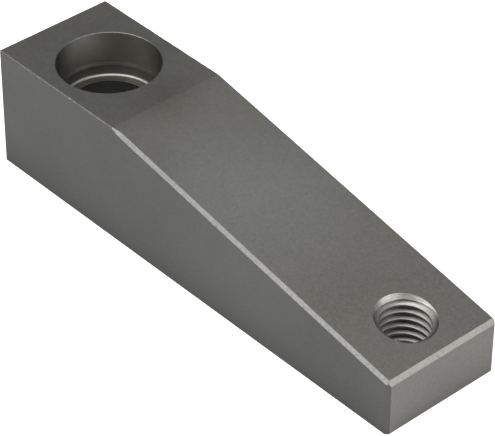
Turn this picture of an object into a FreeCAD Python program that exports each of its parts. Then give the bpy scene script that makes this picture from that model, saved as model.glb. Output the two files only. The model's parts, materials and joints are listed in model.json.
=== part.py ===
import FreeCAD, Part
import os
import re
import Sketcher

# Strap clamp: one bar of steel with a sloping nose, a seated rod bore and a tapped hole.
# Millimetres. The origin is on the axis of the rod bore, in the flat bottom face.
# X runs along the bar to the nose, Y across it and Z up.

doc = FreeCAD.newDocument("strap_clamp")

# Driving sizes, in millimetres

SIZES = (
    ("bar_length", 115.0, "heel face to nose face"),
    ("bar_width", 28.0, "across the bar"),
    ("heel_height", 27.8, "bottom face to the flat top"),
    ("nose_height", 12.7, "bottom face to the slope, at the nose face"),
    ("flat_length", 36.0, "heel face to where the top starts to fall"),
    ("long_chamfer", 0.7, "leg of the chamfer beside the slope, on the -Y side"),
    ("corner_chamfer", 0.7, "leg of the chamfer up the nose's corner on the -Y side"),
    ("lip_back", 0.65, "nose's top chamfer, measured back along the bar"),
    ("lip_down", 1.0, "nose's top chamfer, measured down the nose face"),
    ("edge_break", 0.2, "leg of the fine bevel on the other edges above the bottom face"),
    ("foot_break", 0.1, "leg of the finer bevel round the bottom face"),
    ("heel_to_bore", 18.2, "heel face to the axis of the rod bore"),
    ("rod_diameter", 16.8, "rod bore, from the seat down to the bottom face"),
    ("rod_mouth", 0.3, "leg of the chamfer at the rod bore's lower end"),
    ("seat_depth", 10.4, "flat top to the seat's floor"),
    ("seat_diameter", 21.2, "seat wall beside its floor"),
    ("seat_corner", 0.5, "radius between the seat's wall and its floor"),
    ("entry_diameter", 21.8, "wider upper part of the seat's wall"),
    ("entry_depth", 7.2, "flat top to the foot of the wider part"),
    ("entry_rim", 0.1, "leg of the chamfer round the seat's rim"),
    ("tap_to_nose", 10.0, "axis of the tapped hole to the nose face"),
    ("core_diameter", 10.2, "tapping drill of the contact screw's M12 thread"),
    ("mouth_diameter", 12.6, "countersinks at both ends of the tapped hole"),
    ("clear_cut", 1.0, "how far a cutting outline runs past the metal"),
)

sheet = doc.addObject("Spreadsheet::Sheet", "Sizes")
for row, (name, value, meaning) in enumerate(SIZES, start=1):
    sheet.set(f"A{row}", str(value))
    sheet.setAlias(f"A{row}", name)
    sheet.set(f"B{row}", meaning)
doc.recompute()

# Places and angles that follow from the driving sizes

NOSE_X = "(bar_length - heel_to_bore)"
BEND_X = "(flat_length - heel_to_bore)"
TAP_X = "(bar_length - heel_to_bore - tap_to_nose)"
FALL = "((heel_height - nose_height) / (bar_length - flat_length))"
TAP_TOP = f"(nose_height + tap_to_nose * {FALL})"
SEAT_FLOOR = "(heel_height - seat_depth)"


def over_sheet(text):
    """Put the sheet's name before each of its names in an expression."""
    return re.sub(r"[a-z]+(?:_[a-z]+)+", lambda word: f"Sizes.{word.group(0)}", text)


def number(text):
    """Value of an expression over the sheet, as a plain number."""
    value = sheet.evalExpression(over_sheet(text))
    return float(getattr(value, "Value", value))


def sketch_on(body, name, role, base=("0", "0", "0"), turn="0", about=(0, 0, 1)):
    """Sketch on one of the body's own planes, moved and turned by expressions."""
    plane = next(item for item in body.Origin.OriginFeatures if item.Role == role)
    sketch = body.newObject("Sketcher::SketchObject", name)
    sketch.AttachmentSupport = [(plane, "")]
    sketch.MapMode = "FlatFace"
    start = FreeCAD.Vector(*(number(text) for text in base))
    sketch.AttachmentOffset = FreeCAD.Placement(start, FreeCAD.Rotation(FreeCAD.Vector(*about), number(turn)))
    for letter, text in zip("xyz", base):
        sketch.setExpression(f".AttachmentOffset.Base.{letter}", over_sheet(text))
    if turn != "0":
        sketch.setExpression(".AttachmentOffset.Rotation.Angle", over_sheet(turn))
    return sketch


def outline(sketch, corners):
    """Closed outline of straight lines, each corner placed from the sketch's origin."""
    spots = [FreeCAD.Vector(number(across), number(up), 0) for across, up in corners]
    first = sketch.GeometryCount
    for spot, following in zip(spots, spots[1:] + spots[:1]):
        sketch.addGeometry(Part.LineSegment(spot, following), False)
    for k, (across, up) in enumerate(corners):
        before = first + (k - 1) % len(corners)
        sketch.addConstraint(Sketcher.Constraint("Coincident", before, 2, first + k, 1))
        for kind, text in (("DistanceX", across), ("DistanceY", up)):
            place = Sketcher.Constraint(kind, -1, 1, first + k, 1, number(text))
            index = sketch.addConstraint(place)
            sketch.setExpression(f"Constraints[{index}]", over_sheet(text))


def corner_cut(sketch, across, up, side, top, leg):
    """Triangle that takes a 45 degree bevel off one corner, run past the metal on both sides."""
    reach = f"({leg} + clear_cut)"
    outline(sketch, (
        (f"{across} - {side} * {reach}", f"{up} + {top} * clear_cut"),
        (f"{across} + {side} * clear_cut", f"{up} + {top} * clear_cut"),
        (f"{across} + {side} * clear_cut", f"{up} - {top} * {reach}"),
    ))


def cut(body, kind, name, sketch, **settings):
    """Add a feature that removes metal, and make sure that it did."""
    doc.recompute()
    volume = body.Shape.Volume
    feature = body.newObject(f"PartDesign::{kind}", name)
    feature.Profile = sketch
    for key, value in settings.items():
        setattr(feature, key, value)
    doc.recompute()
    if not body.Shape.Volume < volume:
        raise RuntimeError(f"{name} removed nothing")
    return feature


def cut_through(body, name, sketch):
    """Pocket that runs right through the bar, both ways from its sketch."""
    return cut(body, "Pocket", name, sketch, Type="ThroughAll", SideType="Symmetric")


def turned_cut(body, name, sketch):
    """Full turn of a half section about the upright axis of its own sketch."""
    return cut(body, "Groove", name, sketch, ReferenceAxis=(sketch, ["V_Axis"]), Angle=360)


def bar(body):
    """Side profile of the bar, with the bevels that run across it, made as wide as the bar."""
    sketch = sketch_on(body, "side_profile", "XZ_Plane")
    outline(sketch, (
        ("-heel_to_bore", "foot_break"),
        ("-heel_to_bore", "heel_height - edge_break"),
        ("edge_break - heel_to_bore", "heel_height"),
        (BEND_X, "heel_height"),
        (f"{NOSE_X} - lip_back", f"nose_height + lip_back * {FALL}"),
        (NOSE_X, "nose_height - lip_down"),
        (NOSE_X, "foot_break"),
        (f"{NOSE_X} - foot_break", "0"),
        ("foot_break - heel_to_bore", "0"),
    ))
    pad = body.newObject("PartDesign::Pad", "bar")
    pad.Profile = sketch
    pad.SideType = "Symmetric"
    pad.setExpression("Length", over_sheet("bar_width"))


def upright_corners(body):
    """Chamfer up the nose's corner on the -Y side, and fine bevels up the other three."""
    sketch = sketch_on(body, "corner_plan", "XY_Plane")
    for side, nose_leg in ((-1, "corner_chamfer"), (1, "edge_break")):
        corner_cut(sketch, NOSE_X, f"{side} * bar_width / 2", 1, side, nose_leg)
        corner_cut(sketch, "-heel_to_bore", f"{side} * bar_width / 2", -1, side, "edge_break")
    cut_through(body, "corner_cuts", sketch)


def long_edges(body):
    """Fine bevels along the flat top's two edges and the bottom face's."""
    sketch = sketch_on(body, "long_edge_section", "YZ_Plane")
    for side in (-1, 1):
        corner_cut(sketch, f"{side} * bar_width / 2", "heel_height", side, 1, "edge_break")
        corner_cut(sketch, f"{side} * bar_width / 2", "0", side, -1, "foot_break")
    cut_through(body, "long_edge_cuts", sketch)


def slope_edges(body):
    """Chamfer and fine bevel beside the slope, cut along it, so each runs out on the flat top."""
    sketch = sketch_on(body, "slope_edge_section", "YZ_Plane", base=("0", "heel_height", BEND_X),
                       turn=f"atan({FALL})", about=(1, 0, 0))
    for side, leg in ((-1, "long_chamfer"), (1, "edge_break")):
        corner_cut(sketch, f"{side} * bar_width / 2", "0", side, 1, leg)
    cut_through(body, "slope_edge_cuts", sketch)


def rod_bore(body):
    """Rod bore with its stepped seat above it, turned about the bore's axis."""
    sketch = sketch_on(body, "bore_section", "XZ_Plane")
    step = "((entry_diameter - seat_diameter) / 2)"
    outline(sketch, (
        ("0", "-clear_cut"),
        ("rod_diameter / 2 + rod_mouth + clear_cut", "-clear_cut"),
        ("rod_diameter / 2", "rod_mouth"),
        ("rod_diameter / 2", SEAT_FLOOR),
        ("seat_diameter / 2", SEAT_FLOOR),
        ("seat_diameter / 2", f"heel_height - entry_depth - {step}"),
        ("entry_diameter / 2", "heel_height - entry_depth"),
        ("entry_diameter / 2", "heel_height - entry_rim"),
        ("entry_diameter / 2 + entry_rim + clear_cut", "heel_height + clear_cut"),
        ("0", "heel_height + clear_cut"),
    ))
    turned_cut(body, "bore_and_seat", sketch)


def seat_corner(body):
    """Small radius where the seat's wall meets its floor."""
    floor, radius = number(SEAT_FLOOR), number("seat_diameter / 2")
    edges = [
        f"Edge{k}" for k, edge in enumerate(body.Shape.Edges, start=1)
        if isinstance(edge.Curve, Part.Circle)
        and abs(edge.Curve.Radius - radius) < 1e-6
        and abs(edge.Curve.Center.z - floor) < 1e-6
    ]
    bore = body.Tip
    fillet = body.newObject("PartDesign::Fillet", "seat_corner_radius")
    fillet.Base = (bore, edges)
    fillet.setExpression("Radius", over_sheet("seat_corner"))


def tapped_hole(body):
    """Tapped hole at its drilled size, straight down through the slope, countersunk below."""
    sketch = sketch_on(body, "core_section", "XZ_Plane", base=(TAP_X, "0", "0"))
    outline(sketch, (
        ("0", "-clear_cut"),
        ("mouth_diameter / 2 + clear_cut", "-clear_cut"),
        ("core_diameter / 2", "(mouth_diameter - core_diameter) / 2"),
        ("core_diameter / 2", "heel_height"),
        ("0", "heel_height"),
    ))
    turned_cut(body, "core_hole", sketch)


def slope_mouth(body):
    """Countersink on the slope, square to it, round the point where the axis meets it."""
    sketch = sketch_on(body, "mouth_section", "XZ_Plane", base=(TAP_X, TAP_TOP, "0"),
                       turn=f"-atan({FALL})")
    outline(sketch, (
        ("0", "-mouth_diameter / 2"),
        ("mouth_diameter / 2 + clear_cut", "clear_cut"),
        ("0", "clear_cut"),
    ))
    turned_cut(body, "slope_countersink", sketch)


def write_node(node):
    """Check every object and the node's solid, and write the solid's file."""
    doc.recompute()
    for item in doc.Objects:
        if {"Invalid", "Error"} & set(item.State):
            raise RuntimeError(f"{item.Name} failed: {item.State}")
    shape = node.Shape
    if shape.isNull() or not shape.isValid() or len(shape.Solids) != 1:
        raise RuntimeError(f"{node.Label} is not one valid solid")
    os.makedirs("parts", exist_ok=True)
    shape.exportStep(f"parts/{node.Label}.step")
    box = shape.BoundBox
    print(node.Label, f"{box.XLength:.2f} x {box.YLength:.2f} x {box.ZLength:.2f} mm,",
          f"{shape.Volume / 1000:.2f} cm3, {len(shape.Faces)} faces")


clamp = doc.addObject("PartDesign::Body", "strap_clamp")
clamp.Label = "strap_clamp"
bar(clamp)
upright_corners(clamp)
long_edges(clamp)
slope_edges(clamp)
rod_bore(clamp)
seat_corner(clamp)
tapped_hole(clamp)
slope_mouth(clamp)
write_node(clamp)
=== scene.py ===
# %% [markdown]
# # A strap clamp, machined from one bar of steel
# The real thing is a bar, sawn and milled: a thick heel with a flat top, a long slope down to a thin
# nose, a stepped bore with a seat for the nut, and a tapped hole for the contact screw. Everything is
# one piece, so this lesson makes one closed skin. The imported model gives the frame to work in: where
# the part lies, how large it is, and where its holes are.

# %% Open the frame
import json
import math

import bmesh
import bpy
import numpy as np
from mathutils import Matrix, Vector
from mathutils.geometry import tessellate_polygon


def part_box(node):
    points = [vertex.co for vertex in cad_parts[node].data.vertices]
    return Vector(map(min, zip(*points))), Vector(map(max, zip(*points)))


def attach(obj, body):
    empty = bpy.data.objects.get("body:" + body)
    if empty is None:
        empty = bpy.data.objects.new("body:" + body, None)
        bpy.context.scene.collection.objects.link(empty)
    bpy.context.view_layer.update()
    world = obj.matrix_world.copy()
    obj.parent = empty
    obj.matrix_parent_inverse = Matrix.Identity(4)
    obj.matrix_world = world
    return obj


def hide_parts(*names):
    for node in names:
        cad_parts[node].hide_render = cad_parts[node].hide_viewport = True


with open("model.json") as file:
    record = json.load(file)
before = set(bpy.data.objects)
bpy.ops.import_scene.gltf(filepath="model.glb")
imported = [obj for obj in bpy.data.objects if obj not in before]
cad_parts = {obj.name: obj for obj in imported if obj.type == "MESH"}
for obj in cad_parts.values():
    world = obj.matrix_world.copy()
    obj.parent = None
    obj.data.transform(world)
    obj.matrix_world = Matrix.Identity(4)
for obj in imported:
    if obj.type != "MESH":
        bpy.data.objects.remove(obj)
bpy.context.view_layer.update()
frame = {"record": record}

# %% [markdown]
# ## Sizes
# The lesson works in millimetres and turns them into metres once, when the mesh is made. Whatever
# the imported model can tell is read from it: the bar's box, and the radii and places of its holes.
# The rest are the sizes of the slope and of the edges, which no mount names. They are given where
# they are first used.

# %% Sizes from the frame
MM = 0.001
low, high = (np.array(corner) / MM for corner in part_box("strap_clamp"))
heel_x, nose_x = low[0], high[0]
half_width, heel_height = high[1], high[2]
mounts = {mount["name"]: mount for mount in frame["record"]["mounts"]}


def mount_radius(name):
    """Radius of a round mount, in millimetres."""
    return mounts[name]["dims"]["r_mm"]


rod_radius = mount_radius("rod_bore")
entry_radius = mount_radius("seat")
seat_radius = mount_radius("seat_foot")
seat_floor = mounts["seat_floor"]["pos_m"][2] / MM
core_radius = mount_radius("contact_screw")
tap_x = mounts["contact_screw"]["pos_m"][0] / MM
print(f"bar {nose_x - heel_x:.1f} long, {2 * half_width:.1f} wide and {heel_height:.1f} mm high")

# %% [markdown]
# The slope follows from two sizes: how long the flat top is, and how high the bar still is at the
# nose. The tapped hole starts on the slope, so its depth follows from them too.

# %% Slope
nose_height = 12.7
flat_length = 36.0
bend_x = heel_x + flat_length
fall = (heel_height - nose_height) / (nose_x - bend_x)
tilt = math.atan(fall)
tap_top = nose_height + (nose_x - tap_x) * fall
print(f"the slope falls {math.degrees(tilt):.2f} degrees, and the tapped hole is {tap_top:.2f} mm deep")

# %% [markdown]
# ## The camera
# The camera comes first, because each piece is judged through it. It stands above the nose's near
# corner and looks back along the bar with a long lens, which keeps the bar's edges nearly parallel.
# It is turned towards a point inside the bar with its own top up, and then rolled a little about
# its line of sight, as a camera that wasn't quite level.

# %% Camera
camera_place = Vector((358.54, -284.44, 342.62)) * MM
camera_target = Vector((42.317, 0.0, 12.4)) * MM
camera_roll = math.radians(0.324)
lens_mm = 198.51

camera_data = bpy.data.cameras.new("camera")
camera_data.lens = lens_mm
camera_data.sensor_width = 36.0
camera_data.clip_start, camera_data.clip_end = 0.01, 20.0
camera = bpy.data.objects.new("camera", camera_data)
bpy.context.collection.objects.link(camera)
sight = (camera_target - camera_place).normalized()
turn = sight.to_track_quat("-Z", "Y").to_matrix() @ Matrix.Rotation(camera_roll, 3, "Z")
camera.matrix_world = Matrix.Translation(camera_place) @ turn.to_4x4()
bpy.context.scene.camera = camera
print(f"camera {(camera_target - camera_place).length:.3f} m from the bar")

# %% [markdown]
# ## Corners with a true arc
# No edge on a real part is perfectly sharp, and a rounded one catches a thread of light. A corner
# between two straight runs is softened by an arc that touches both. A rational quadratic curve
# gives that arc exactly, and works on a whole array of corners at once.

# %% Arc over a corner
shortest_run = 1e-9
share_of_run = 0.45


def length_of(vectors):
    """Length of each vector in the last axis, kept as an axis of one."""
    return np.linalg.norm(vectors, axis=-1, keepdims=True)


def corner_arc(before, corner, after, radius, steps=3):
    """Arc of the given radius that touches the runs corner-before and corner-after.

    With a and b where it touches, c the corner and w the cosine of half the turn, a point at u is
    ((1 - u)^2 a + 2 u (1 - u) w c + u^2 b) / ((1 - u)^2 + 2 u (1 - u) w + u^2).
    The arc takes less than half of either run, so neighbours never meet.
    """
    runs = [np.asarray(end, float) - corner for end in (before, after)]
    sizes = [np.maximum(length_of(run), shortest_run) for run in runs]
    ways = [run / size for run, size in zip(runs, sizes)]
    cosine = np.sum(ways[0] * ways[1], axis=-1, keepdims=True).clip(-1, 1)
    half_turn = (math.pi - np.arccos(cosine)) / 2
    touch = np.minimum(radius * np.tan(half_turn), share_of_run * np.minimum(*sizes))
    start, end = (corner + way * touch for way in ways)
    u = np.linspace(0, 1, steps).reshape((-1,) + (1,) * np.ndim(corner))
    weights = (1 - u) ** 2, 2 * u * (1 - u) * np.cos(half_turn), u ** 2
    total = weights[0] + weights[1] + weights[2]
    return (weights[0] * start + weights[1] * corner + weights[2] * end) / total


def softened(points, radii, steps=3):
    """Line through the points, with an arc of its own radius over each inner one."""
    points = [np.array(point, float) for point in points]
    arcs = [
        corner_arc(points[k], points[k + 1], points[k + 2], radius, steps)
        for k, radius in enumerate(radii)
    ]
    return np.concatenate([[points[0]], *arcs, [points[-1]]])


quarter = corner_arc((4.0, 0.0), np.zeros(2), (0.0, 4.0), 1.0, steps=9)
print(f"a quarter arc is round to {abs(length_of(quarter - 1.0) - 1.0).max():.1e} of its radius")

# %% [markdown]
# ## A skin gathered patch by patch
# Each surface is worked out as a grid of points, row by column. The class below keeps the points of
# all patches in one list and turns each grid into four-sided faces. A flat face with holes in it
# isn't a grid: it is filled between loops of points that the grids already have, so nothing gapes.

# %% Skin
class Skin:
    """Points and faces of one closed skin, with a finish's number for each face."""

    def __init__(self):
        self.points, self.faces, self.finishes, self.count = [], [], [], 0

    def add_points(self, grid):
        """Keep a grid of points, and return the number of each in the same shape."""
        numbers = self.count + np.arange(grid[..., 0].size).reshape(grid.shape[:-1])
        self.points.append(grid.reshape(-1, 3))
        self.count += grid[..., 0].size
        return numbers

    def add_quads(self, numbers, finish, kept=None):
        """Faces between neighbours of a numbered grid, or only those that the mask keeps."""
        quads = np.stack([numbers[:-1, :-1], numbers[1:, :-1], numbers[1:, 1:], numbers[:-1, 1:]], -1)
        quads = quads.reshape(-1, 4) if kept is None else quads[kept]
        self.faces += quads.tolist()
        self.finishes += [finish] * len(quads)

    def fill_flat(self, loops, finish):
        """Triangles that fill the first loop of point numbers, less the loops after it."""
        every = np.concatenate(self.points)
        outlines = [[Vector(every[number]) for number in loop] for loop in loops]
        numbers = np.concatenate(loops)
        triangles = [numbers[list(corners)].tolist() for corners in tessellate_polygon(outlines)]
        self.faces += triangles
        self.finishes += [finish] * len(triangles)


finish_numbers = range(7)
GROUND, BLASTED, MILLED, BEVELLED, FILED, BORED, TAPPED = finish_numbers
skin = Skin()
print(f"an empty skin, for faces of {len(finish_numbers)} finishes")

# %% [markdown]
# ## The bar's outside
# The outside is one profile carried along the bar. At each station along X the section is a
# rectangle with cut corners, and five limits say how large it is: the width, the bottom, the top,
# and the planes of the chamfers. Near the heel and the nose the limits close in, which makes the
# bevels round the two end faces. A chamfer that runs out, as beside the slope, needs no care of its
# own: its plane simply stops being the nearest limit.

# %% Bevels round the two ends
chamfer_leg = 0.7
lip_back, lip_down = 0.65, 1.0
edge_break, foot_break = 0.2, 0.1
edge_round = 0.06
end_run = 2.0


def heel_end(leg):
    """Softened line of (x, inset) from the heel face, for a bevel with two equal legs."""
    line = [(heel_x, leg + end_run), (heel_x, leg), (heel_x + leg, 0), (heel_x + leg + end_run, 0)]
    return softened(line, (edge_round, edge_round))[1:]


def nose_end(back, inward):
    """Softened line of (x, inset) up to the nose face, for a bevel with its own legs."""
    starts = nose_x - back
    line = [(starts - end_run, 0), (starts, 0), (nose_x, inward), (nose_x, inward + end_run)]
    return softened(line, (edge_round, edge_round))[:-1]


heel_corner, heel_foot = heel_end(edge_break), heel_end(foot_break)
near_corner = nose_end(chamfer_leg, chamfer_leg)
far_corner = nose_end(edge_break, edge_break)
nose_foot = nose_end(foot_break, foot_break)
lip = nose_end(lip_back, lip_down)
print(f"the lip starts {nose_x - lip_back:.2f} mm along, and is {lip_back} by {lip_down} mm")

# %% [markdown]
# The stations are close together only where the section changes quickly: along the flat top with
# its uneven bevels, where the chamfer starts, and at the points of the bevels round the ends.

# %% Stations along the bar
lead_in = 2.0
flat_step, slope_step, lead_step = 0.5, 1.0, 0.25
beside_bend = 0.01
heel_margin, nose_margin = 1, 2
spread = np.concatenate([
    np.arange(heel_x + heel_margin, bend_x, flat_step),
    np.arange(bend_x, nose_x - nose_margin, slope_step),
    np.arange(bend_x, bend_x + lead_in, lead_step),
    [bend_x - beside_bend, bend_x + beside_bend],
])
ends = (heel_corner, heel_foot, near_corner, far_corner, nose_foot, lip)
stations = np.unique(np.round(np.concatenate([spread, *(profile[:, 0] for profile in ends)]), 6))
print(f"{len(stations)} stations from {stations[0]:.2f} to {stations[-1]:.2f} mm")

# %% [markdown]
# The fine bevels along the flat top were broken by hand with a file, so their width wanders by a few
# hundredths of a millimetre, and the near one has a small nick. A sum of a few waves whose lengths
# share no common multiple gives that wander without a random number.

# %% Limits of the section
nick_x, nick_size, nick_width = 4.9, 0.08, 0.35
wander_size = 0.015
wander_fade = 3
far_shift, near_shift = 1.3, 0.4


def wander(x, shift):
    """Sum of three waves along the bar, a few hundredths high, fading out at both ends of the flat."""
    waves = np.sin(0.6 * x + shift) + np.sin(1.3 * x + 2 * shift) + 0.5 * np.sin(2.3 * x - shift)
    fade_in = np.clip((x - heel_x) / wander_fade, 0, 1)
    fade_out = np.clip((bend_x - x) / wander_fade, 0, 1)
    return wander_size * waves * fade_in * fade_out


def section_corners(x, widest_leg, corner_line, shift, nick):
    """The four corners of the half section at each station: bottom, low side, high side, top.

    A corner between a level limit and an upright one is moved back onto the chamfer's plane where
    that plane lies nearer: along the level limit by one leg, down the upright one by the other.
    The chamfer beside the slope starts narrow at the bend and is full a lead-in further on.
    """
    heel_inset = np.interp(x, *heel_corner.T)
    side = half_width - np.maximum(heel_inset, np.interp(x, *corner_line.T))
    bottom = np.maximum(np.interp(x, *heel_foot.T), np.interp(x, *nose_foot.T))
    slope = heel_height - (x - bend_x) * fall
    top = np.minimum(heel_height, slope) - np.maximum(heel_inset, np.interp(x, *lip.T))

    broken = edge_break + wander(x, shift) + nick * np.exp(-((x - nick_x) / nick_width) ** 2)
    slope_leg = np.interp(x, (bend_x, bend_x + lead_in), (edge_break, widest_leg))
    across, cosine = half_width - slope_leg, math.cos(tilt)
    break_sum = half_width + heel_height - broken
    top_y = np.minimum(side, np.minimum(break_sum - top, across + (slope - top) * cosine))
    side_z = np.minimum(top, np.minimum(break_sum - side, slope + (across - side) / cosine))
    foot_y = np.minimum(side, half_width - foot_break + bottom)
    foot_z = np.maximum(bottom, side - half_width + foot_break)
    pairs = ((foot_y, bottom), (side, foot_z), (side, side_z), (top_y, top))
    return [np.stack(pair, -1) for pair in pairs]


most_wander = abs(wander(stations, near_shift)).max()
print(f"the near bevel of {edge_break} mm wanders by up to {most_wander:.3f} mm")

# %% [markdown]
# Each half section is softened at its four corners, and the near half is mirrored onto -Y. Both
# together make the ring of points at every station.

# %% Section's ring
def half_section(*side):
    """Softened half section at each station, from the bottom round to the top, as (y, z)."""
    corners = section_corners(stations, *side)
    first, last = (corner * (0, 1) for corner in (corners[0], corners[-1]))
    line = [first, *corners, last]
    arcs = [corner_arc(*line[k:k + 3], edge_round) for k in range(len(corners))]
    return np.concatenate(arcs)


far_half = half_section(edge_break, far_corner, far_shift, 0.0)
near_half = half_section(chamfer_leg, near_corner, near_shift, nick_size)
ring = np.concatenate([far_half, near_half[::-1] * (-1, 1)])
bar_grid = np.stack([np.broadcast_to(stations, ring.shape[:2]), ring[..., 0], ring[..., 1]], -1)
print(f"section of {len(ring)} points, up to {bar_grid[..., 1].max():.2f} mm out")

# %% [markdown]
# The section's ring leaves two wide strips, one along the top and one along the bottom. Where they
# are flat they get holes, so no faces are made there yet. The chamfer and the lip are faces of
# their own finish, because they were cut after the sides and the top.

# %% Outside faces
level_tolerance = 1e-6
bar_numbers = skin.add_points(bar_grid)
closed = np.concatenate([bar_numbers, bar_numbers[:1]])
top_strip, bottom_strip = len(far_half) - 1, len(ring) - 1
chamfer_strip = top_strip + 3

level = bar_grid[top_strip, :, 2]
on_flat = level > heel_height - level_tolerance
on_slope = (stations > bend_x - level_tolerance) & (np.interp(stations, *lip.T) < level_tolerance)
on_bottom = bar_grid[bottom_strip, :, 2] < level_tolerance


def range_of(mask):
    """First and last station where the mask holds."""
    places = np.flatnonzero(mask)
    return places[0], places[-1]


flat_range, slope_range, bottom_range = (range_of(mask) for mask in (on_flat, on_slope, on_bottom))
kept = np.ones((len(closed) - 1, len(stations) - 1), bool)
kept[top_strip, flat_range[0]:slope_range[1]] = False
kept[bottom_strip, bottom_range[0]:bottom_range[1]] = False
bevelled, filed = np.zeros_like(kept), np.zeros_like(kept)
bevelled[chamfer_strip] = True
filed[top_strip, slope_range[1]:] = True
skin.add_quads(closed, GROUND, kept & ~bevelled & ~filed)
skin.add_quads(closed, BEVELLED, kept & bevelled)
skin.add_quads(closed, FILED, kept & filed)
skin.fill_flat([bar_numbers[:, 0]], GROUND)
skin.fill_flat([bar_numbers[:, -1]], MILLED)
print(f"{len(skin.faces)} faces on the outside")


def strip_outline(strip, ends):
    """Loop of point numbers round the strip beside a ring's point, between two stations."""
    one, other = closed[strip], closed[strip + 1]
    first, last = ends
    return np.concatenate([one[first:last + 1], other[first:last + 1][::-1]])


# %% [markdown]
# ## The seated bore
# The bore was turned: every part of it is a line spun about the upright axis. From the top the line
# has the entry's rim, the entry's wall, a small step, the seat's wall, a round corner, the seat's
# flat floor, and the narrower rod bore down to its mouth. It begins and ends on the flat faces that
# it cuts through, a little outside the rims, so that the rims can be soft too.

# %% Turned bore
entry_depth, entry_rim, step_drop = 7.2, 0.1, 0.8
seat_corner, sharp_round = 0.7, 0.02
rod_mouth = 0.3
rim_land = 0.3
bore_columns = 192
bore_points = [
    (entry_radius + entry_rim + rim_land, heel_height),
    (entry_radius + entry_rim, heel_height),
    (entry_radius, heel_height - entry_rim),
    (entry_radius, heel_height - entry_depth),
    (seat_radius, heel_height - entry_depth - step_drop),
    (seat_radius, seat_floor),
    (rod_radius, seat_floor),
    (rod_radius, rod_mouth),
    (rod_radius + rod_mouth, 0),
    (rod_radius + rod_mouth + rim_land, 0),
]
bore_radii = (
    sharp_round, sharp_round, edge_round, edge_round,
    seat_corner, sharp_round, edge_round, edge_round,
)


def spun(line, columns):
    """Line of (radius, height) carried round the upright axis: x = r cos t, y = r sin t, z = height."""
    angles = np.linspace(0, 2 * np.pi, columns + 1)[None]
    radius, height = line[:, 0, None], line[:, 1, None]
    return np.stack([radius * np.cos(angles), radius * np.sin(angles), height + 0 * angles], -1)


bore_line = softened(bore_points, bore_radii, steps=7)
bore_numbers = skin.add_points(spun(bore_line, bore_columns))
print(f"bore of {len(bore_line)} rings, {bore_line[:, 0].min():.2f} to {bore_line[:, 0].max():.2f} mm")

# %% [markdown]
# The blasting reached the land round the bore and its rim, so the first rings belong to the flat
# top's finish, and the last one to the ground bottom. The wall between them keeps the bored steel.

# %% Faces of the bore
rim_rows = 10
skin.add_quads(bore_numbers[:rim_rows], BLASTED)
skin.add_quads(bore_numbers[rim_rows - 1:-1], BORED)
skin.add_quads(bore_numbers[-2:], GROUND)
print(f"{len(skin.faces)} faces with the bore")

# %% [markdown]
# ## The tapped hole
# A tap leaves a V-shaped groove that winds up the wall. Seen round its axis the whole hole is a
# height field: at each angle and height there is one radius, the greatest of what three tools cut,
# the thread and the countersinks above and below. The grid's rows follow the helix, so that crests
# and roots lie exactly on rows. Each row is stopped at the bottom face and at the slope, and the
# rows that pile up there are merged later.

# %% Thread profile
thread_pitch, thread_radius = 1.75, 6.0
thread_flank = math.radians(30)
thread_lift = 0.6
thread_columns = 144
rows_per_pitch = 28
least_row = 0.02
root_half = thread_pitch / 16
crest_start = root_half + (thread_radius - core_radius) * math.tan(thread_flank)
crest_round = 0.05
groove = softened(
    [
        (-thread_pitch / 2, core_radius), (-crest_start, core_radius), (-root_half, thread_radius),
        (root_half, thread_radius), (crest_start, core_radius), (thread_pitch / 2, core_radius),
    ],
    (crest_round, crest_round, crest_round, crest_round),
)
even = np.linspace(-thread_pitch / 2, thread_pitch / 2, rows_per_pitch, endpoint=False)
one_turn = np.unique(np.round(np.concatenate([groove[:-1, 0], even]), 4))
clear = np.diff(np.append(one_turn, thread_pitch / 2)) > least_row
one_turn = one_turn[clear]
turns = np.arange(-math.ceil(tap_top / thread_pitch) - 2, 3)
climb = (turns[:, None] * thread_pitch + one_turn).ravel()[:, None]
angles = np.linspace(0, 2 * np.pi, thread_columns + 1)[None]
print(f"thread of {len(one_turn)} rows a turn, {core_radius} to {thread_radius} mm")

# %% [markdown]
# The upper countersink is square to the slope, though the hole is upright. Its cone has a half
# angle of 45 degrees, so a point q, seen from the tip, lies on it where (q . n)^2 is half of q . q,
# with n the slope's normal. On a level ray from the hole's axis that is a quadratic in the radius.

# %% Upper countersink
mouth_radius = 6.3
slope_normal = np.array([math.sin(tilt), 0, math.cos(tilt)])


def tilted_cone(angle, rise):
    """Radius, about the upright axis, of the upper countersink at a rise above its centre.

    With p the axis point seen from the tip and e the ray's direction, q is p + r e. The quadratic is
    ((n . e)^2 - 1/2) r^2 + (2 (n . e) (n . p) - p . e) r + (n . p)^2 - (p . p) / 2 = 0.
    """
    along = slope_normal[0] * np.cos(angle)
    from_tip = mouth_radius * slope_normal[0], rise + mouth_radius * slope_normal[2]
    level_part = from_tip[0] * np.cos(angle)
    up_part = from_tip[0] * slope_normal[0] + from_tip[1] * slope_normal[2]
    square = along ** 2 - 0.5
    linear = 2 * along * up_part - level_part
    constant = up_part ** 2 - 0.5 * (from_tip[0] ** 2 + from_tip[1] ** 2)
    root = np.sqrt(np.maximum(linear ** 2 - 4 * square * constant, 0))
    return np.where(up_part > 0, (-linear - root) / (2 * square), 0)


def mouth_rim(angle):
    """Radius and height, about the upright axis, of the circle where the cone meets the slope.

    The circle's point at t along the slope and u across it is (t cos tilt, u, top - t sin tilt), and
    t and u are the mouth's radius times the cosine and sine of the angle round the slope's normal.
    """
    around = np.arctan2(np.sin(angle) * math.cos(tilt), np.cos(angle))
    across = mouth_radius * np.sin(around)
    down_slope = mouth_radius * np.cos(around)
    return np.hypot(down_slope * math.cos(tilt), across), tap_top - down_slope * math.sin(tilt)


rim_radius, rim_height = mouth_rim(angles)
rim_gap = abs(tilted_cone(angles, rim_height - tap_top) - rim_radius).max()
print(f"cone misses its rim by {rim_gap:.1e} mm")

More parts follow.
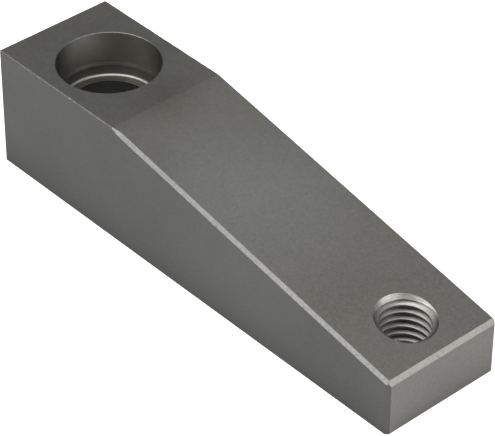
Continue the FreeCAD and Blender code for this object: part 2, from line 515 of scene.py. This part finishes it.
# %% [markdown]
# Now the three tools meet. At every angle and height the hole is as wide as the widest of them.
# Heights are held between the bottom face and the slope, and rows held at the top lie on the rim.

# %% Radius of the hole at each angle and height
height = tap_top + thread_lift + climb + thread_pitch * angles / (2 * np.pi)
within = (climb + thread_pitch / 2) % thread_pitch - thread_pitch / 2
threaded = np.interp(within, groove[:, 0], groove[:, 1]) + 0 * angles
height = np.clip(height, 0, rim_height)
lower_cone = mouth_radius - height
upper_cone = tilted_cone(angles, height - tap_top)
radius = np.maximum(threaded, np.maximum(lower_cone, upper_cone))
radius = np.where(height >= rim_height, rim_radius, radius)
tap_grid = np.stack([tap_x + radius * np.cos(angles), radius * np.sin(angles), height], -1)
tap_numbers = skin.add_points(tap_grid)
skin.add_quads(tap_numbers, TAPPED)
print(f"tapped hole of {len(tap_grid)} rows, {radius.min():.2f} to {radius.max():.2f} mm from its axis")

# %% [markdown]
# ## The flat faces with holes
# The flat top, the slope and the bottom are filled last, between the bar's edges and the rims. A
# boolean cut could make the holes too, but it would leave its own points on every rim.

# %% Faces round the holes
flat_edge = strip_outline(top_strip, (flat_range[0], slope_range[0]))
slope_edge = strip_outline(top_strip, slope_range)
bottom_edge = strip_outline(bottom_strip, bottom_range)
skin.fill_flat([flat_edge, bore_numbers[0, :-1]], BLASTED)
skin.fill_flat([slope_edge, tap_numbers[-1, :-1]], BLASTED)
skin.fill_flat([bottom_edge, bore_numbers[-1, :-1], tap_numbers[0, :-1]], GROUND)
print(f"{len(skin.faces)} faces in all")

# %% [markdown]
# ## One closed mesh
# All points go into one mesh, in metres. Points that patches share are merged, which also closes
# the seam of each spun surface and removes the rows that piled up at the hole's ends. A closed skin
# has two faces at every edge, so that is counted. Edges that turn sharply stay crisp.

# %% Mesh
crisp_turn = math.radians(24)
merge_reach = 1e-6


def closed_mesh(name, skin):
    """Mesh of a skin with its shared points merged, its faces outwards and its crisp edges marked."""
    mesh = bpy.data.meshes.new(name)
    mesh.from_pydata(np.concatenate(skin.points) * MM, [], skin.faces)
    mesh.polygons.foreach_set("material_index", np.array(skin.finishes, np.int32))
    form = bmesh.new()
    form.from_mesh(mesh)
    bmesh.ops.remove_doubles(form, verts=form.verts, dist=merge_reach)
    bmesh.ops.recalc_face_normals(form, faces=form.faces)
    gaps = sum(1 for edge in form.edges if len(edge.link_faces) != 2)
    for edge in form.edges:
        edge.smooth = len(edge.link_faces) == 2 and edge.calc_face_angle() < crisp_turn
    for face in form.faces:
        face.smooth = True
    print(f"{name}: {len(form.verts)} points, {len(form.faces)} faces, {gaps} edges not closed,",
          f"{form.calc_volume() / MM ** 3 / 1000:.2f} cm3")
    form.to_mesh(mesh)
    form.free()
    return mesh


clamp = bpy.data.objects.new("clamp_bar", closed_mesh("clamp_bar", skin))
bpy.context.collection.objects.link(clamp)
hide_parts("strap_clamp")
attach(clamp, "root")

# %% [markdown]
# ## Flat faces that look flat
# Smooth shading blends the normals of all faces at a point, and then a narrow chamfer between two
# arcs shades like part of a tube. So each corner gets a normal of its own. A face that lies in one
# of the bar's planes averages only with its own plane, the small arcs beside it start and end at
# that plane's normal, and the turned bore averages by area. The thread keeps the usual normals.

# %% Directions of the bar's planes
axes = [(-1, 0, 0), (1, 0, 0), (0, -1, 0), (0, 1, 0), (0, 0, -1), (0, 0, 1)]
planes = np.array([*axes, slope_normal])
sums = (planes[:, None] + planes[None]).reshape(-1, 3)
kept_sums = sums[length_of(sums)[:, 0] > 0.1]
lip_way = np.array([[lip_down / lip_back + fall, 0, 1]])
plane_ways = np.concatenate([kept_sums, lip_way])
plane_ways /= length_of(plane_ways)
print(f"{len(plane_ways)} directions of faces and of the bevels between them")

# %% [markdown]
# The planes and the 45 degree bevels between them are the sums of two directions, less those that
# cancel. A face belongs to a plane when its normal is within a few degrees of that direction.

# %% Normals for each corner
flat_tolerance = math.cos(math.radians(5))
least_length = 1e-12


def read(sequence, name, kind=float, width=1):
    """One value, or one row of values, for every item of a mesh's sequence."""
    values = np.empty(len(sequence) * width, kind)
    sequence.foreach_get(name, values)
    return values.reshape(-1, width) if width > 1 else values


def corner_normals(mesh):
    """Normal at each corner, from sums of normal times area over chosen faces round its point.

    The choice is the flat faces of the same plane for a flat face, the flat faces for any other,
    and all faces where none is flat. A zero keeps the usual normal.
    """
    ways, areas = read(mesh.polygons, "normal", width=3), read(mesh.polygons, "area")
    points = read(mesh.loops, "vertex_index", np.int32).astype(np.int64)
    faces = np.repeat(np.arange(len(ways)), read(mesh.polygons, "loop_total", np.int32))
    finish = read(mesh.polygons, "material_index", np.int32)[faces]
    match = ways @ plane_ways.T
    flat = (match.max(axis=1)[faces] > flat_tolerance) & (finish < BORED)
    weighted = (ways * areas[:, None])[faces]

    def summed(keys, chosen):
        found, place = np.unique(keys, return_inverse=True)
        total = np.zeros((len(found), 3))
        np.add.at(total, place[chosen], weighted[chosen])
        return total[place]

    own_plane = summed(points * len(plane_ways) + match.argmax(axis=1)[faces], flat)
    flats = summed(points, flat)
    every = summed(points, finish != TAPPED)
    normals = np.where(flat[:, None], own_plane, np.where(length_of(flats) > 0, flats, every))
    return normals / np.maximum(length_of(normals), least_length)


corner_ways = corner_normals(clamp.data)
clamp.data.normals_split_custom_set(corner_ways.tolist())
usual = np.sum(length_of(corner_ways) == 0)
print(f"{len(corner_ways)} corners, {usual} of them with the usual normal")

# %% [markdown]
# ## Writing shader maths
# A finish is a tree of nodes. Wrapping a socket in a small class lets an ordinary expression add
# the Math nodes, so a formula can be read as one. Every other node comes from one method.

# %% Sockets that can be added and multiplied
class Term:
    """One output socket of a finish, with arithmetic that adds Math nodes."""

    def __init__(self, finish, socket):
        self.finish, self.socket = finish, socket

    def beside(self, output):
        """Another output of the same node."""
        return Term(self.finish, self.socket.node.outputs[output])

    def __add__(self, other):
        return self.finish.maths("ADD", self, other)

    def __radd__(self, other):
        return self.finish.maths("ADD", other, self)

    def __sub__(self, other):
        return self.finish.maths("SUBTRACT", self, other)

    def __rsub__(self, other):
        return self.finish.maths("SUBTRACT", other, self)

    def __mul__(self, other):
        return self.finish.maths("MULTIPLY", self, other)

    def __rmul__(self, other):
        return self.finish.maths("MULTIPLY", other, self)

    def __truediv__(self, other):
        return self.finish.maths("DIVIDE", self, other)

    def __rtruediv__(self, other):
        return self.finish.maths("DIVIDE", other, self)


# %% [markdown]
# Colours and places have three parts, and a Math node would keep only one number of them. They go
# through Mix and Vector Math nodes instead, which have short names here.

# %% Nodes of a finish
class Finish:
    """A material or world whose nodes are made by one method."""

    def __init__(self, owner):
        owner.use_nodes = True
        self.tree = owner.node_tree
        self.tree.nodes.clear()

    def node(self, kind, settings=None, values=None, output=0):
        """Node of a kind: its settings first, then the value or link of each named input."""
        made = self.tree.nodes.new(kind)
        for name, value in (settings or {}).items():
            setattr(made, name, value)
        for name, value in (values or {}).items():
            if isinstance(value, Term):
                self.tree.links.new(value.socket, made.inputs[name])
            else:
                made.inputs[name].default_value = value
        return Term(self, made.outputs[output]) if len(made.outputs) else made

    def maths(self, operation, first, second=0.0):
        """Math node on two values or terms."""
        return self.node("ShaderNodeMath", {"operation": operation}, {0: first, 1: second})

    def vectors(self, operation, first, second):
        """Vector Math node on two colours or places, or on one and the number that scales it."""
        inputs = {0: first, "Scale" if operation == "SCALE" else 1: second}
        return self.node("ShaderNodeVectorMath", {"operation": operation}, inputs)

    def axes(self, place):
        """The x, y and z of a place."""
        parts = self.node("ShaderNodeSeparateXYZ", {}, {0: place})
        return [parts.beside(k) for k in range(3)]

    def clamped(self, value, low_end, high_end):
        """Value brought to 0 at its low end and 1 at its high end, and kept there."""
        ends = {"Value": value, "From Min": low_end, "From Max": high_end}
        return self.node("ShaderNodeMapRange", {"clamp": True}, ends)

    def blend(self, factor, first, second):
        """Colour between two colours."""
        inputs = {0: factor, 6: first, 7: second}
        return self.node("ShaderNodeMix", {"data_type": "RGBA"}, inputs, output=2)

    def noise(self, place, scale, detail=2.0, roughness=0.5):
        """Noise value about 0.5 at a place, with so many blobs to a unit of length."""
        values = {"Vector": place, "Scale": scale, "Detail": detail, "Roughness": roughness}
        return self.node("ShaderNodeTexNoise", {}, values)


# %% [markdown]
# ## One metal, seen closely
# All finishes are the same metal. They share a place in millimetres, soft round spots, and the
# surface itself. Its relief is a bump, because real points this close together would be millions.

# %% Places, spots and the surface
def millimetres(finish):
    """Object coordinates in millimetres."""
    return finish.vectors("SCALE", finish.node("ShaderNodeTexCoord", output="Object"), 1 / MM)


def spot(finish, place, centre, radius):
    """1 at a centre, fading smoothly to 0 at a radius, by the distance between place and centre."""
    between = {0: place, 1: centre}
    apart = finish.node("ShaderNodeVectorMath", {"operation": "DISTANCE"}, between, output="Value")
    ends = {"Value": apart, "From Min": radius, "From Max": 0.0}
    return finish.node("ShaderNodeMapRange", {"interpolation_type": "SMOOTHSTEP"}, ends)


def steel(finish, colour, roughness, height, bump_mm):
    """Metal surface of a colour and roughness, with a bump of a height pattern in millimetres."""
    relief = {"Height": height, "Distance": bump_mm * MM, "Strength": 1.0}
    look = {
        "Base Color": colour,
        "Roughness": roughness,
        "Metallic": 1.0,
        "Normal": finish.node("ShaderNodeBump", {}, relief),
    }
    surface = finish.node("ShaderNodeBsdfPrincipled", {}, look)
    finish.node("ShaderNodeOutputMaterial", {}, {"Surface": surface})


# %% [markdown]
# ## Steel, mottled by grinding and blasting
# The sides were ground and the top was blasted with fine grit. Both leave a dark, even grey that is
# mottled at several scales: clouds a few centimetres wide, patches of a millimetre or two, and the
# grain of the grit. A few dark and pale specks are dents and scuffs. One recipe with its own mean
# colour and strength of grain makes every outside finish, so they stay one metal.

# %% Mottled steel
# each noise: blobs to a millimetre, octaves, and how strong an octave is beside the one before
cloud_noise, patch_noise = (0.07, 2), (0.6, 3)
grain_noise, fine_noise, speck_noise = (1.5, 4, 0.75), (3.4, 2, 0.7), (0.9, 4, 0.8)
cloud_gain, patch_gain, fine_share = 0.16, 0.10, 0.9
dark_specks, dark_gain = (0.64, 0.70), 0.24
pale_specks, pale_gain = (0.34, 0.29), 0.20
outside_roughness, grain_rough, patch_rough, pale_smooth = 0.47, 0.10, 0.06, 0.06
patch_height, outside_bump = 0.5, 0.012


def mottled(finish, place, colour, grain_gain, highlight_and_tone_spots=(), painted_light=0.0):
    """Steel of a mean colour times 1 plus each pattern's gain times its distance from a half.

    Spots add to red, green and blue within a radius of a centre, as painted highlights and patches.
    """
    patterns = (cloud_noise, patch_noise, grain_noise, fine_noise, speck_noise)
    clouds, patches, grain, fine, specks = (finish.noise(place, *pattern) for pattern in patterns)
    dark, pale = finish.clamped(specks, *dark_specks), finish.clamped(specks, *pale_specks)
    # the last term adds painted light and shade, as at the bend
    light = 1.0 + cloud_gain * (clouds - 0.5) + patch_gain * (patches - 0.5) + painted_light
    light = light + grain_gain * ((grain - 0.5) + fine_share * (fine - 0.5))
    light = light - dark_gain * dark + pale_gain * pale
    shade = finish.vectors("SCALE", (1, 1, 1), light)
    # spots of painted highlight, and paler or darker patches of the steel
    for centre, radius, spot_gain in highlight_and_tone_spots:
        spot_gain = finish.vectors("SCALE", spot_gain, spot(finish, place, centre, radius))
        shade = finish.vectors("ADD", shade, spot_gain)
    colour = finish.vectors("MULTIPLY", shade, colour)
    uneven = grain_rough * (grain - 0.5) + patch_rough * (patches - 0.5)
    roughness = outside_roughness + uneven - pale_smooth * pale
    steel(finish, colour, roughness, grain + patch_height * patches - dark, outside_bump)


def outside_steel(name, colour, grain_gain, highlight_and_tone_spots=()):
    """Mottled steel whose grain is the same all over."""
    material = bpy.data.materials.new(name)
    finish = Finish(material)
    mottled(finish, millimetres(finish), colour, grain_gain, highlight_and_tone_spots)
    return material


# %% [markdown]
# The sides are paler in the middle, a painted highlight. The nose's end was milled last and is the
# palest. The chamfers were bevelled with a coarse wheel and the lip was filed, so their grain is
# stronger.

# %% Ground, milled, bevelled and filed steel
# painted highlight: the middle of each side is made paler by this much
side_highlight = (0.12, 0.12, 0.12)
side_highlights = [((54.0, side * 14.0, 14.0), 28.0, side_highlight) for side in (-1, 1)]
ground_steel = outside_steel("ground_steel", (0.139, 0.1395, 0.1325), 0.38, side_highlights)
milled_steel = outside_steel("milled_steel", (0.226, 0.222, 0.208), 0.46)
bevelled_steel = outside_steel("bevelled_steel", (0.147, 0.1455, 0.138), 1.0)
filed_steel = outside_steel("filed_steel", (0.189, 0.183, 0.167), 0.8)
print(f"{ground_steel.name}: {len(ground_steel.node_tree.nodes)} nodes, the others much the same")

# %% [markdown]
# The bend is a little rounded, and here its light and shade are painted: painted light just before
# it and painted shade just after it. The slope's middle is paler than its edges, a painted highlight,
# and the flat round the bore is darker. The grain grows coarser towards the nose, in patches, so that
# no line shows where it starts.

# %% Blasted steel
# painted highlight in the slope's middle, then darker and paler patches on the top
top_highlight_and_tone_spots = [
    ((46.0, -2.0, 22.4), 34.0, (0.22, 0.26, 0.29)),
    ((17.5, 0.0, 27.8), 12.0, (-0.13, -0.15, -0.17)),
    ((0.0, 0.0, 27.8), 22.0, (-0.13, -0.08, -0.03)),
    ((26.0, -13.0, 26.2), 14.0, (-0.09, -0.09, -0.09)),
    ((12.0, 13.0, 27.8), 11.0, (0.09, 0.09, 0.09)),
]
# painted light just before the bend and painted shade just after it
painted_light_before_bend, painted_shade_after_bend = (0.04, 2.0), (0.09, 3.0)      # how much, and over how many millimetres
bend_width = 0.02
coarse_from, coarse_to = 30.0, 80.0
blasted_grain, least_grain, coarse_gain = 0.55, 0.8, 0.7
uneven_noise = (0.15, 1)


def blasted_steel(name, colour):
    """Mottled steel with painted light and shade at the bend, and grain that depends on the place along
    the bar.
    """
    material = bpy.data.materials.new(name)
    finish = Finish(material)
    place = millimetres(finish)
    x = finish.axes(place)[0]
    bend = float(bend_x)
    past = finish.clamped(x, bend - bend_width, bend + bend_width)
    lit_run_up = finish.clamped(x, bend - painted_light_before_bend[1], bend)
    shaded_run_out = finish.clamped(x, bend + painted_shade_after_bend[1], bend)
    # painted light before the bend and painted shade after it
    painted_light = painted_light_before_bend[0] * lit_run_up * (1.0 - past) - painted_shade_after_bend[0] * shaded_run_out * past
    uneven = finish.noise(place, *uneven_noise)
    coarser = least_grain + coarse_gain * finish.clamped(x, coarse_from, coarse_to) * uneven
    mottled(finish, place, colour, blasted_grain * coarser, top_highlight_and_tone_spots, painted_light)
    return material


blasted_top = blasted_steel("blasted_steel", (0.1485, 0.1450, 0.1335))
print(f"{blasted_top.name}: {len(blasted_top.node_tree.nodes)} nodes")

# %% [markdown]
# ## Steel, bored and tapped
# A boring bar leaves fine rings that follow its path round the axis. On a wall they lie one above
# the other and on the floor one inside the other, so the pattern reads height less radius, which
# changes across the rings on both. The tap's streaks follow the thread in the same way.

# %% Patterns round an axis
stroke_noise = (1.0, 3, 0.6)


def about_axis(finish, place, axis_x):
    """Radius from an upright axis, and x, y and z seen from its foot, of a place in millimetres."""
    x, y, z = finish.axes(place)
    across = x - axis_x
    return finish.maths("SQRT", across * across + y * y), across, y, z


def drawn_out(finish, x, y, across, slow, quick):
    """Noise that changes slowly with x and y and quickly across the tool's path."""
    path = finish.node("ShaderNodeCombineXYZ", {}, {"X": slow * x, "Y": slow * y, "Z": quick * across})
    return finish.noise(path, *stroke_noise)


def facing(x, y, radius, heading):
    """Cosine of the angle round the axis between a place and a heading in degrees."""
    heading = math.radians(heading)
    return (math.cos(heading) * x + math.sin(heading) * y) / radius


# %% [markdown]
# The bore has four tones, from the top down: a bright entry, duller towards two opposite sides and
# paler at one spot, a dull step, the seat's wall, and below the seat's corner a dark floor and rod
# bore. Everything below the entry is painted darker, as painted shade deeper in the bore. Masks by
# height put each tone in its place.

# %% Bored steel
# the seat, dull and rod tones are darker as painted shade deeper in the bore; the dull tone also makes
# the entry's duller sides
entry_tones = (0.38, 0.368, 0.335, 1), (0.52, 0.505, 0.46, 1)
seat_shaded_tones = (0.19, 0.188, 0.175, 1), (0.27, 0.266, 0.245, 1)
dull_and_shaded_tones = (0.095, 0.092, 0.082, 1), (0.130, 0.126, 0.113, 1)
rod_shaded_tone = (0.22, 0.218, 0.20, 1)
# the entry keeps its bright tone towards this heading and its opposite, and is paler round one spot
bright_heading, pale_spot_place, pale_spot_reach = 141, (-10.6, 2.6, 25.5), 7.0
pale_spot_gain, step_shade_share = 0.6, 0.4
ring_slow, ring_quick, ring_bump = 0.15, 9.0, 0.006
bore_cloud_noise, bore_tone_ends, bright_heading_ends = (0.25, 2), (0.3, 0.7), (0.3, 0.75)
bore_roughness, ring_rough = 0.36, 0.12
# where each mask starts and ends, measured up from its level
entry_end, step_end, seat_end, floor_end = (0.1, 0.0), (0.05, -0.05), (0.12, 0.04), (-0.1, -0.4)


def bored_steel(name):
    """Walls, step and floor of the seated bore, each with two tones that the rings blend."""
    material = bpy.data.materials.new(name)
    finish = Finish(material)
    place = millimetres(finish)
    radius, x, y, z = about_axis(finish, place, 0.0)
    rings = drawn_out(finish, x, y, z - radius, ring_slow, ring_quick)
    clouds = finish.noise(place, *bore_cloud_noise)
    tone = finish.clamped(0.5 * rings + 0.5 * clouds, *bore_tone_ends)
    entry, seat, dull_and_shaded = (finish.blend(tone, *tones) for tones in (entry_tones, seat_shaded_tones, dull_and_shaded_tones))
    toward_bright_heading = finish.maths("ABSOLUTE", facing(x, y, radius, bright_heading))
    entry = finish.blend(finish.clamped(toward_bright_heading, *bright_heading_ends), dull_and_shaded, entry)
    pale_spot = 1.0 + pale_spot_gain * spot(finish, place, pale_spot_place, pale_spot_reach)
    entry = finish.vectors("SCALE", entry, pale_spot)

    def below(level, ends):
        """0 above the start and 1 below the end, both measured up from a level."""
        return finish.clamped(z, *(float(level) + end for end in ends))

    # painted shade: the step, the seat's wall, the floor and the rod bore are darker than the entry
    step_top = heel_height - entry_depth
    step = finish.blend(step_shade_share, dull_and_shaded, seat)
    shaded_low_walls = finish.blend(below(step_top - step_drop, step_end), step, seat)
    walls = finish.blend(below(step_top, entry_end), entry, shaded_low_walls)
    shaded_floors = finish.blend(below(seat_floor, floor_end), dull_and_shaded, rod_shaded_tone)
    colour = finish.blend(below(seat_floor, seat_end), walls, shaded_floors)
    steel(finish, colour, bore_roughness + ring_rough * rings, rings, ring_bump)
    return material


bored_wall = bored_steel("bored_steel")
print(f"{bored_wall.name}: {len(bored_wall.node_tree.nodes)} nodes")

# %% [markdown]
# The tap leaves a brighter surface, and the countersink's low side is painted dark, as painted
# shade on the cone outside the thread.

# %% Tapped steel
tapped_tones = (0.175, 0.172, 0.159, 1), (0.335, 0.328, 0.310, 1)
# painted shade on the countersink's low side: its tone, how deep, its heading and where it stops inside
painted_shade_tone, painted_shade_depth, painted_shade_heading = (0.04, 0.04, 0.037, 1), 0.75, -38
painted_shade_inside = 0.3
shaded_low_side_ends = (-0.35, 0.10)
streak_slow, streak_quick, streak_bump = 0.4, 7.0, 0.025
tap_grain_noise, tapped_tone_ends = (4.5, 3, 0.7), (0.38, 0.60)
tap_roughness, streak_rough = 0.42, 0.12


def tapped_steel(name):
    """Thread and countersinks of the tapped hole."""
    material = bpy.data.materials.new(name)
    finish = Finish(material)
    place = millimetres(finish)
    radius, across, y, z = about_axis(finish, place, float(tap_x))
    x = finish.axes(place)[0]
    streaks = drawn_out(finish, x, y, z + radius, streak_slow, streak_quick)
    grain = finish.noise(place, *tap_grain_noise)
    tone = finish.clamped(0.65 * streaks + 0.35 * grain, *tapped_tone_ends)
    bright = finish.blend(tone, *tapped_tones)
    # painted shade: the countersink's low side is darkened outside the thread
    shaded_low_side = finish.clamped(facing(across, y, radius, painted_shade_heading), *shaded_low_side_ends)
    outside_thread = finish.clamped(radius, core_radius + painted_shade_inside, thread_radius)
    colour = finish.blend(painted_shade_depth * shaded_low_side * outside_thread, bright, painted_shade_tone)
    roughness = tap_roughness + streak_rough * streaks
    steel(finish, colour, roughness, 0.6 * streaks + 0.4 * grain, streak_bump)
    return material


tapped_wall = tapped_steel("tapped_steel")
print(f"{tapped_wall.name}: {len(tapped_wall.node_tree.nodes)} nodes")

# %% [markdown]
# The mesh's faces carry the numbers of their finishes, from the ground steel to the tapped one, so
# the materials are added in that order.

# %% Finishes onto the bar
finishes = [
    ground_steel, blasted_top, milled_steel, bevelled_steel, filed_steel, bored_wall, tapped_wall,
]
for material in finishes:
    clamp.data.materials.append(material)
print("finishes:", [material.name for material in clamp.data.materials])

# %% [markdown]
# ## Floor
# The part was shown on pure white. The floor is a pale matt plane, which takes the part's soft
# shadow, and it adds a glow that only the camera and mirror-like surfaces see. The glow fades out
# towards the part, because no light reaches the page underneath it, and so the holes stay dark.

# %% Matt floor that glows
floor_colour = (0.45, 0.45, 0.45, 1)
page_glow, mirrored_glow = 0.95, 0.17
shade_reach = 6.0


def distance_outside(finish, place):
    """Distance in millimetres from the bar's outline on the floor, by what lies beyond it in x and y."""
    x, y, _ = finish.axes(place)
    middle, half_length = float(heel_x + nose_x) / 2, float(nose_x - heel_x) / 2
    beyond = [
        finish.maths("MAXIMUM", finish.maths("ABSOLUTE", x - middle) - half_length, 0.0),
        finish.maths("MAXIMUM", finish.maths("ABSOLUTE", y) - float(half_width), 0.0),
    ]
    return finish.maths("SQRT", beyond[0] * beyond[0] + beyond[1] * beyond[1])


def pale_floor(name):
    """Matt pale floor that also glows for what looks at it."""
    material = bpy.data.materials.new(name)
    finish = Finish(material)
    paths = finish.node("ShaderNodeLightPath")
    rays = ("Is Camera Ray", "Is Glossy Ray", "Is Transmission Ray")
    camera_ray, glossy_ray, glass_ray = (paths.beside(ray) for ray in rays)
    open_page = finish.clamped(distance_outside(finish, millimetres(finish)), 0.0, shade_reach)
    matt = finish.node("ShaderNodeBsdfDiffuse", {}, {"Color": floor_colour})
    glow = camera_ray * page_glow + (glossy_ray + glass_ray) * mirrored_glow
    shine = finish.node("ShaderNodeEmission", {}, {"Strength": glow})
    both = finish.node("ShaderNodeAddShader", {}, {0: matt, 1: shine})
    glowing = finish.maths("MAXIMUM", camera_ray, open_page)
    surface = finish.node("ShaderNodeMixShader", {}, {0: glowing, 1: matt, 2: both})
    finish.node("ShaderNodeOutputMaterial", {}, {"Surface": surface})
    return material


floor_finish = pale_floor("pale_floor")
print(f"{floor_finish.name}: {len(floor_finish.node_tree.nodes)} nodes")

# %% [markdown]
# The floor is one large square in the plane that the bar rests on, and isn't part of the object.

# %% Floor
floor_reach = 1.5
square = [(-1, -1, 0), (1, -1, 0), (1, 1, 0), (-1, 1, 0)]
floor_mesh = bpy.data.meshes.new("floor")
floor_mesh.from_pydata(np.array(square) * floor_reach, [], [(0, 1, 2, 3)])
floor_mesh.materials.append(floor_finish)
floor = bpy.data.objects.new("floor", floor_mesh)
bpy.context.collection.objects.link(floor)
print(f"floor {2 * floor_reach} m wide, with a shaded edge of {shade_reach} mm round the bar")

# %% [markdown]
# ## World
# The world is a plain studio that grows brighter towards the ceiling, and the camera sees it white.
# Metal shows what surrounds it, so this slow change of brightness is what tells its faces apart.

# %% Studio
room_low, room_high = 0.24, 0.93
rise_from, rise_to = 0.5, 0.95
white = (1, 1, 1, 1)
world = bpy.data.worlds.new("studio")
bpy.context.scene.world = world
room = Finish(world)
way = room.node("ShaderNodeTexCoord", output="Generated")
rise = room.clamped(room.axes(way)[2], rise_from, rise_to)
strength = room_low + room_high * rise
ceiling = room.node("ShaderNodeBackground", {}, {"Color": white, "Strength": strength})
page = room.node("ShaderNodeBackground", {}, {"Color": white, "Strength": 1.0})
seen = room.node("ShaderNodeLightPath", output="Is Camera Ray")
mixed = room.node("ShaderNodeMixShader", {}, {0: seen, 1: ceiling, 2: page})
room.node("ShaderNodeOutputWorld", {}, {"Surface": mixed})
print(f"studio of {room_low} low down and {room_low + room_high:.2f} at the ceiling")

# %% [markdown]
# ## Lamps
# Three large soft lamps stand round the bar at arm's length. The one overhead lights the flat top
# and the slope, the left one the long side and the right one the nose. Their size keeps the
# highlights on the edges soft.

# %% Lamps
lamp_size, lamp_distance = 0.6, 0.8
lamp_aim = Vector((0.04, 0, 0.01))


def softbox(name, azimuth, elevation, watts):
    """Square soft lamp that faces the part from a direction, in degrees about the upright axis.

    With the azimuth a and the elevation e, the direction is (cos a cos e, sin a cos e, sin e).
    """
    lamp = bpy.data.lights.new(name, "AREA")
    lamp.shape, lamp.size, lamp.energy = "SQUARE", lamp_size, watts
    around, above = math.radians(azimuth), math.radians(elevation)
    level = math.cos(above)
    way = Vector((math.cos(around) * level, math.sin(around) * level, math.sin(above)))
    holder = bpy.data.objects.new(name, lamp)
    turned = (-way).to_track_quat("-Z", "Y").to_matrix().to_4x4()
    holder.matrix_world = Matrix.Translation(lamp_aim + way * lamp_distance) @ turned
    bpy.context.collection.objects.link(holder)


softbox("overhead", -50, 75, 3.5)
softbox("left", 254, 41, 5.2)
softbox("right", 22, 20, 4.6)
print(f"{len(bpy.data.lights)} lamps, {lamp_distance} m from the bar")

# %% [markdown]
# ## Colours out
# The plain view transform shows the colours as they are.

# %% Finish
bpy.context.scene.view_settings.view_transform = "Standard"
